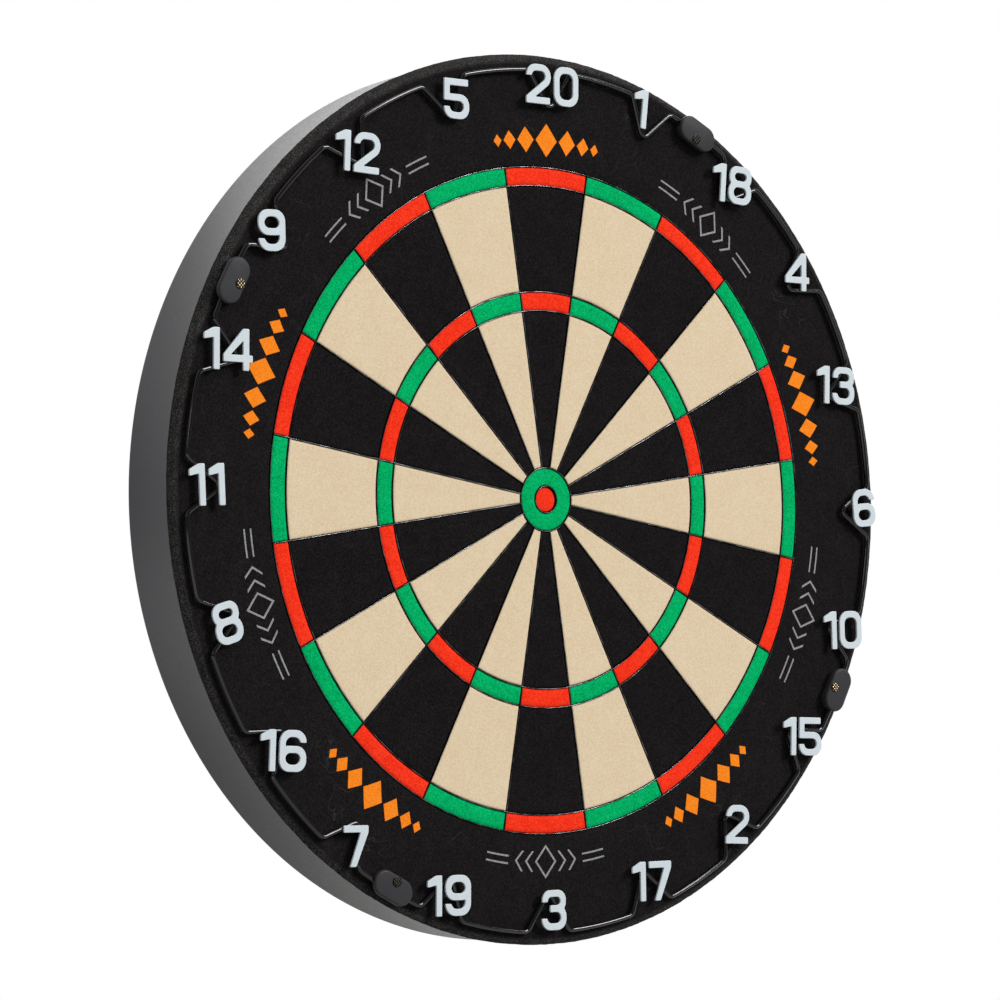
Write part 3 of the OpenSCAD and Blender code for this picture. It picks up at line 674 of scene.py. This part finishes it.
def wire_path():
    """One sector's centre line as right-hand points, mirrored and turned: the dip's tip arc, its leg, the
    bend onto the outer arc, and that arc. The leg is the straight step from the tip's end to the bend.
    Gives places in the ring's plane and the angle of the path's normal."""
    ring_r = 220.0 * MM
    dip = 18.0 * MM
    lean = np.radians(34)
    tip_r = 3.0 * MM
    bend_r = 4.0 * MM
    tip_steps, bend_steps, arc_steps = 9, 11, 9
    tip_c = np.array([0, ring_r - dip + tip_r])
    across = np.array([np.cos(lean), -np.sin(lean)])
    leg = np.array([np.sin(lean), np.cos(lean)])
    base = tip_c + (tip_r + bend_r) * across
    reach = -base @ leg + np.sqrt((base @ leg) ** 2 - base @ base + (ring_r - bend_r) ** 2)
    bend_c = base + reach * leg
    bend_end = np.arctan2(bend_c[0], bend_c[1])
    tip_a = np.linspace(-np.pi / 2, -lean, tip_steps)
    bend_a = np.linspace(np.pi - lean, np.pi / 2 - bend_end, bend_steps)
    arc_a = np.linspace(np.pi / 2 - bend_end, np.pi / 2 - sector / 2, arc_steps)[1:]
    right = np.concatenate([wire_arc(tip_c, tip_r, tip_a, tip_a),
                            wire_arc(bend_c, bend_r, bend_a, bend_a - np.pi),
                            wire_arc((0, 0), ring_r, arc_a, arc_a - np.pi)])
    left = right[-2:0:-1] * [-1, 1, -1] + [0, 0, np.pi]
    dip_path = np.concatenate([left, right])
    turn = np.arange(sectors)[:, None] * sector
    x, z, normal = (dip_path[:, k] for k in range(3))
    return np.stack([x * np.cos(turn) + z * np.sin(turn), z * np.cos(turn) - x * np.sin(turn),
                     normal - turn], -1).reshape(-1, 3)


def gloss_black():
    """Black lacquer dipped on wire: deep black with a clear gloss, a little uneven along the bends."""
    sag_mm = 5.0
    low, high, shiny, dull = 0.3, 0.7, 0.06, 0.14
    made, tree, shader = new_material("gloss_black_lacquer", {"Base Color": linear("#0f0f11"), "IOR": 1.52})
    sag = add(tree, "TexNoise", {"Vector": place_mm(tree), "Scale": 1 / sag_mm, "Detail": 3.0})
    matt = add(tree, "MapRange", {"Value": sag.outputs["Fac"], 1: low, 2: high, 3: shiny, 4: dull})
    feed(tree, shader, {"Roughness": matt.outputs["Result"]})
    return made


def number_wire():
    """A round section carried along the closed path: it stands across the path at each point."""
    steps = 20
    path = wire_path()
    around = full_turn(steps)
    swing = wire_r * np.cos(around)
    x = path[:, :1] + swing * np.cos(path[:, 2:])
    z = path[:, 1:2] + swing * np.sin(path[:, 2:])
    y = np.broadcast_to(face_y - wire_out - wire_r * np.sin(around), x.shape)
    quads = grid_quads(len(path), steps, closed_rows=True, closed_columns=True)
    new_piece("ring_wire", np.stack([x, y, z], -1), [quads], gloss_black(), "number_ring", "wire_black",
              "number_wire")


number_wire()


# Numerals
# Cut from steel sheet, tumbled so that their corners and edges are soft, and painted satin white. Each is
# welded over a dip of the wire.
def satin_white():
    """White stove paint, a little blue: smooth, with a satin sheen and faint handling marks."""
    mark_mm = 4.0
    low, high, shiny, dull = 0.3, 0.7, 0.42, 0.55
    made, tree, shader = new_material("satin_white_paint", {"IOR": 1.5, "Specular IOR Level": 0.3})
    marks = add(tree, "TexNoise", {"Vector": place_mm(tree), "Scale": 1 / mark_mm, "Detail": 4.0})
    colour = add(tree, "Mix", {0: marks.outputs["Fac"], 6: linear("#c7d1d6"), 7: linear("#d1dade")},
                 data_type="RGBA")
    matt = add(tree, "MapRange", {"Value": marks.outputs["Fac"], 1: low, 2: high, 3: shiny, 4: dull})
    feed(tree, shader, {"Base Color": colour.outputs[2], "Roughness": matt.outputs["Result"]})
    return made


def sheet_outlines(name):
    """A sheet solid's outlines as (x, z) loops with the metal on their left, seen from the front: the front
    edges of its walls, less those that double back, followed from end to end. Each outer loop, which turns to
    the left, comes in a list with the holes that lie nearest to it."""
    mesh = nodes[name].data
    mesh.calc_loop_triangles()
    places = np.empty(3 * len(mesh.vertices))
    corners = np.empty(3 * len(mesh.loop_triangles), int)
    mesh.vertices.foreach_get("co", places)
    mesh.loop_triangles.foreach_get("vertices", corners)
    places, same = np.unique(np.round(places.reshape(-1, 3) / merge), axis=0, return_inverse=True)
    triangles = same.reshape(-1)[corners].reshape(-1, 3)
    walls = triangles[np.ptp(places[triangles, 1], axis=1) > 0]
    edges = np.concatenate([walls[:, [1, 0]], walls[:, [2, 1]], walls[:, [0, 2]]])
    edges = edges[np.all(places[edges, 1] == places[:, 1].min(), axis=1)]
    edges = edges[~np.isin(edges @ [len(places), 1], edges @ [1, len(places)])]
    onward = dict(edges.tolist())
    loops = []
    while onward:
        first, here = onward.popitem()
        loop = [first]
        while here != first:
            loop.append(here)
            here = onward.pop(here)
        loops.append(places[loop][:, [0, 2]] * merge)
    area = np.array([np.sum(np.cross(loop, np.roll(loop, -1, 0))) for loop in loops])
    middle = np.array([loop.mean(0) for loop in loops])
    outer = np.flatnonzero(area > 0)
    owner = outer[np.argmin(np.linalg.norm(middle[:, None] - middle[outer], axis=-1), axis=1)]
    owner[outer] = outer
    return [[loops[k] for k in np.flatnonzero(owner == one)] for one in outer]


def eased(loop):
    """An outline in even steps along its length, each point then the mean of those round it, which rounds off
    its corners."""
    step = 0.3 * MM
    reach = 2
    closed = np.vstack([loop, loop[:1]])
    along = lengths(closed)
    even = points_at(np.linspace(0, along[-1], int(along[-1] / step), endpoint=False), along, closed)
    return sum(np.roll(even, shift, 0) for shift in range(-reach, reach + 1)) / (2 * reach + 1)


def numeral(number, material):
    """Each outline carries the sheet's half-round edge from the back to the front; flats close both sides."""
    edge_r = 0.3 * MM
    flat = 0.25 * MM
    edge_steps = 5
    name = f"numeral_{number}"
    front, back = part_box(name)[0].y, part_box(name)[1].y
    turn = np.radians(np.linspace(0, 90, edge_steps))
    inset = np.concatenate([[edge_r + flat], edge_r * (1 - np.sin(turn))])
    from_flat = np.concatenate([[0], edge_r * (1 - np.cos(turn))])
    inset = np.concatenate([inset, inset[::-1]])[:, None]
    y = np.concatenate([front + from_flat, back - from_flat[::-1]])[:, None]
    points, faces, start = [], [], 0
    for loops in sheet_outlines(name):
        rims, fronts, backs = [], [], []
        for loop in loops:
            middle = eased(loop)
            ahead = np.roll(middle, -1, 0) - np.roll(middle, 1, 0)
            ahead /= np.linalg.norm(ahead, axis=1, keepdims=True)
            x = middle[:, 0] - inset * ahead[:, 1]
            z = middle[:, 1] + inset * ahead[:, 0]
            grid = np.stack([x, np.broadcast_to(y, x.shape), z], -1)
            points.append(grid.reshape(-1, 3))
            faces.append(grid_quads(len(y), len(middle), closed_columns=True) + start)
            rims.append([Vector(point) for point in grid[0]])
            fronts.append(start + np.arange(len(middle)))
            backs.append(fronts[-1] + (len(y) - 1) * len(middle))
            start += x.size
        fill = np.array(tessellate_polygon(rims))
        faces += [np.concatenate(fronts)[fill], np.concatenate(backs)[fill]]
    new_piece(f"number_{number}", np.concatenate(points), faces, material, "number_ring", "numeral_white",
              name)


white_paint = satin_white()
for number in range(1, sectors + 1):
    numeral(number, white_paint)


# Clips
# Moulded plastic ovals that hook over the wire's outer arc and stand with their heel on the fibre. Each is
# held by one nail.
def moulded_plastic():
    """Moulded dark grey plastic with a fine spark-eroded grain: dull, with a faint sheen."""
    grain_mm = 0.7
    low, high, shiny, dull = 0.3, 0.7, 0.36, 0.5
    made, tree, shader = new_material("grained_plastic", {"IOR": 1.49, "Specular IOR Level": 0.16})
    grain = add(tree, "TexNoise", {"Vector": place_mm(tree), "Scale": 1 / grain_mm, "Detail": 2.0})
    colour = add(tree, "Mix", {0: grain.outputs["Fac"], 6: linear("#2f2f31"), 7: linear("#3b3b3e")},
                 data_type="RGBA")
    matt = add(tree, "MapRange", {"Value": grain.outputs["Fac"], 1: low, 2: high, 3: shiny, 4: dull})
    bump = add(tree, "Bump", {"Strength": 0.35, "Distance": 0.08 * MM, "Height": grain.outputs["Fac"]})
    feed(tree, shader, {"Base Color": colour.outputs[2], "Roughness": matt.outputs["Result"],
                        "Normal": bump.outputs["Normal"]})
    return made


def clip(number, material):
    """The solid's own shape with its triangles joined into whole faces, and a bevel on its creases."""
    edge_w = 0.12 * MM
    flat_deg, crease_deg, edge_deg = 0.5, 35, 40
    work = bmesh.new()
    work.from_mesh(nodes[f"clip_cap_{number}"].data)
    bmesh.ops.remove_doubles(work, verts=work.verts, dist=merge)
    bmesh.ops.dissolve_limit(work, angle_limit=np.radians(flat_deg), verts=work.verts, edges=work.edges)
    mesh = bpy.data.meshes.new(f"clip_{number}")
    made = shaded(f"clip_{number}", mesh, work, material, crease_deg)
    bevel = made.modifiers.new("soft_edge", "BEVEL")
    bevel.width = edge_w
    bevel.segments = 2
    bevel.harden_normals = True
    bevel.limit_method = "ANGLE"
    bevel.angle_limit = np.radians(edge_deg)
    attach(made, f"clip_{number}")
    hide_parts(f"clip_cap_{number}")


clip_finish = moulded_plastic()
for number in range(1, clip_count + 1):
    clip(number, clip_finish)


# Clip nails
# Steel nails, blacked over brass plate and driven through the clips into the fibre. Their heads are
# cross-knurled, and the brass shows where the hammer has worn the points.
def blacked_brass():
    """Dark metal in the grooves and brass on the worn points, by the piece's own attribute."""
    wear_low, wear_high = 0.28, 0.4
    made, tree, shader = new_material("blacked_brass_plate", {"Metallic": 1.0, "Roughness": 0.34})
    worn = add(tree, "Attribute", attribute_name="worn").outputs["Fac"]
    worn = add(tree, "MapRange", {"Value": worn, 1: wear_low, 2: wear_high})
    colour = add(tree, "Mix", {0: worn.outputs["Result"], 6: linear("#2a2825"), 7: linear("#b9a27c")},
                 data_type="RGBA")
    feed(tree, shader, {"Base Color": colour.outputs[2]})
    return made


def knurl(x, z):
    """Two crossed sets of ridges, each a triangle wave from 0 to 1, multiplied into rows of pyramids."""
    pitch = 1.3 * MM
    one, two = (np.abs(place / np.sqrt(2) / pitch % 1 - 0.5) * 2 for place in (x + z, x - z))
    return one * two


def clip_nail(number, wear, material):
    """A nail turned about its own axis: point, shank and crowned head, on which the knurl stands. The piece
    keeps how far each place is worn: the knurl's height, times the head's wear."""
    low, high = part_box(f"clip_nail_{number}")
    axis_x, axis_z = nail_axis(number)
    head_r = (high.x - low.x) / 2
    head_t = 0.9 * MM
    head_y = low.y + head_t
    shank_r = 1.0 * MM
    point_l = 2.5 * MM
    flat_t, crown, under_cut = 0.5 * MM, 0.13 * MM, 0.1 * MM
    knurl_h = 0.26 * MM
    knurl_fade = 0.2 * MM
    head_rows, steps = 20, 72
    head = np.linspace(head_r, 0, head_rows)
    radius = np.concatenate([[0, shank_r, shank_r, head_r - under_cut], head])[:, None]
    y = np.concatenate([[high.y, high.y - point_l, head_y, head_y],
                        head_y - flat_t - crown * (1 - (head / head_r) ** 2)])[:, None]
    around = full_turn(steps)
    x, z = radius * np.cos(around), radius * np.sin(around)
    on_head = (y < head_y) * np.clip((head_r - radius) / knurl_fade, 0, 1)
    points = np.stack([axis_x + x, y - on_head * knurl_h * knurl(x, z), axis_z + z], -1)
    quads = grid_quads(len(radius), steps, closed_columns=True)
    made = new_piece(f"nail_{number}", points, [quads], material, f"nail_{number}", "clip_nail_metal",
                     f"clip_nail_{number}", crease_deg=25)
    places = np.empty(3 * len(made.data.vertices))
    made.data.vertices.foreach_get("co", places)
    x, _, z = places.reshape(-1, 3).T
    worn = made.data.attributes.new("worn", "FLOAT", "POINT")
    worn.data.foreach_set("value", wear * knurl(x - axis_x, z - axis_z))


nail_finish = blacked_brass()
head_wear = (0.3, 1.0, 0.2, 1.0)
for number, wear in enumerate(head_wear, 1):
    clip_nail(number, wear, nail_finish)


# Stage
# A plain pale floor at the height that the rules of darts give below the bull. Behind the board the studio is
# white;
# on the camera's side it is dim, so that gloss stays dark there.
scene = bpy.context.scene
scene.view_settings.view_transform = "Standard"


def studio_floor():
    """A flat square, far larger than the view. It is a pale matt sheet for the camera, for gloss and for
    glass, and a greyer one for the light that it throws back. Far out it runs into the white backdrop."""
    half = 14.0
    drop = 1.73
    near, far = 2.7, 5.0
    made, tree, shader = new_material("pale_paper", {"Roughness": 0.9, "Specular IOR Level": 0.1})
    path = add(tree, "LightPath").outputs
    seen = path["Is Camera Ray"]
    for ray in ("Is Glossy Ray", "Is Transmission Ray"):
        seen = add(tree, "Math", {0: seen, 1: path[ray]}, operation="MAXIMUM").outputs[0]
    colour = add(tree, "Mix", {0: seen, 6: linear("#8c8c8c"), 7: linear("#cfcdc9")}, data_type="RGBA")
    feed(tree, shader, {"Base Color": colour.outputs[2]})
    away = add(tree, "VectorMath", {0: add(tree, "TexCoord").outputs["Object"]}, operation="LENGTH")
    fade = add(tree, "MapRange", {"Value": away.outputs["Value"], 1: near, 2: far},
               interpolation_type="SMOOTHSTEP")
    fade = add(tree, "Math", {0: fade.outputs["Result"], 1: seen}, operation="MULTIPLY")
    white = add(tree, "Emission", {"Color": linear("#ffffff"), "Strength": 1.0})
    mixed = add(tree, "MixShader", {0: fade.outputs[0], 1: shader.outputs[0], 2: white.outputs[0]})
    feed(tree, tree.nodes["Material Output"], {"Surface": mixed.outputs[0]})
    mesh = bpy.data.meshes.new("floor")
    mesh.from_pydata([(-half, -half, -drop), (half, -half, -drop), (half, half, -drop), (-half, half, -drop)],
                     [], [(0, 1, 2, 3)])
    mesh.materials.append(made)
    floor = bpy.data.objects.new("floor", mesh)
    scene.collection.objects.link(floor)


def studio_world():
    """White for the camera and for glass. Gloss sees that white behind the board, falling off to the lower
    left, and a dim room in front of it. All other light is an even grey."""
    dim, grey, white = 0.15, 0.5, 1.0
    front, rear = -0.2, 0.3
    up_right = (0.85, 0.0, 1.1)
    fall_from, fall_to, fall_low = -0.75, -0.05, 0.25
    made = bpy.data.worlds.new("studio")
    made.use_nodes = True
    tree = made.node_tree
    way = add(tree, "TexCoord").outputs["Generated"]
    depth = add(tree, "SeparateXYZ", {0: way}).outputs["Y"]
    behind = add(tree, "MapRange", {"Value": depth, 1: front, 2: rear}, interpolation_type="SMOOTHSTEP")
    slant = add(tree, "VectorMath", {0: way, 1: up_right}, operation="DOT_PRODUCT").outputs["Value"]
    fall = add(tree, "MapRange", {"Value": slant, 1: fall_from, 2: fall_to, 3: fall_low, 4: white})
    gloss = add(tree, "Mix", {0: behind.outputs["Result"], 2: dim, 3: fall.outputs["Result"]})
    path = add(tree, "LightPath")
    seen = add(tree, "Math", {0: path.outputs["Is Camera Ray"], 1: path.outputs["Is Transmission Ray"]},
               operation="MAXIMUM")
    level = add(tree, "Mix", {0: path.outputs["Is Glossy Ray"], 2: grey, 3: gloss.outputs[0]})
    level = add(tree, "Mix", {0: seen.outputs[0], 2: level.outputs[0], 3: white})
    feed(tree, tree.nodes["Background"], {"Strength": level.outputs[0], "Color": linear("#ffffff")})
    scene.world = made


def softbox(name, towards, distance, size, watts):
    """A square lamp that faces the board's middle from the given direction."""
    lamp = bpy.data.lights.new(name, "AREA")
    lamp.size = size
    lamp.energy = watts
    made = bpy.data.objects.new(name, lamp)
    towards = Vector(towards).normalized()
    made.location = Vector((0, face_y, 0)) + towards * distance
    made.rotation_mode = "QUATERNION"
    made.rotation_quaternion = towards.to_track_quat("Z", "Y")
    made.visible_camera = False
    scene.collection.objects.link(made)


studio_floor()
studio_world()
softbox("key", towards=(0.503, -0.704, 0.503), distance=12.0, size=3.8, watts=1085)
softbox("top", towards=(0.2, -0.5, 0.84), distance=3.0, size=0.5, watts=12)
softbox("side", towards=(-0.85, -0.5, 0.25), distance=4.0, size=0.5, watts=5)
softbox("rear", towards=(0.25, 0.79, 0.55), distance=2.6, size=2.0, watts=16)


# Camera
# Stands left of the board's axis and a little below its middle, as the photograph was taken.
def camera():
    """The view along an azimuth, an elevation and a distance from the point that it looks at, with a roll."""
    target = Vector((-29.371, -48.285, -1.165)) * MM
    distance = 2067.68 * MM
    azimuth, elevation, roll = np.radians((-37.3855, -2.8441, 0.076))
    sensor_mm, focal_mm = 36.0, 146.86
    farthest = 100
    level = np.cos(elevation)
    back = Vector((np.sin(azimuth) * level, -np.cos(azimuth) * level, np.sin(elevation)))
    lens = bpy.data.cameras.new("camera")
    lens.sensor_width = sensor_mm
    lens.lens = focal_mm
    lens.clip_end = farthest
    made = bpy.data.objects.new("camera", lens)
    made.location = target + back * distance
    made.rotation_mode = "QUATERNION"
    made.rotation_quaternion = Quaternion(back, roll) @ (-back).to_track_quat("-Z", "Y")
    scene.collection.objects.link(made)
    scene.camera = made


camera()
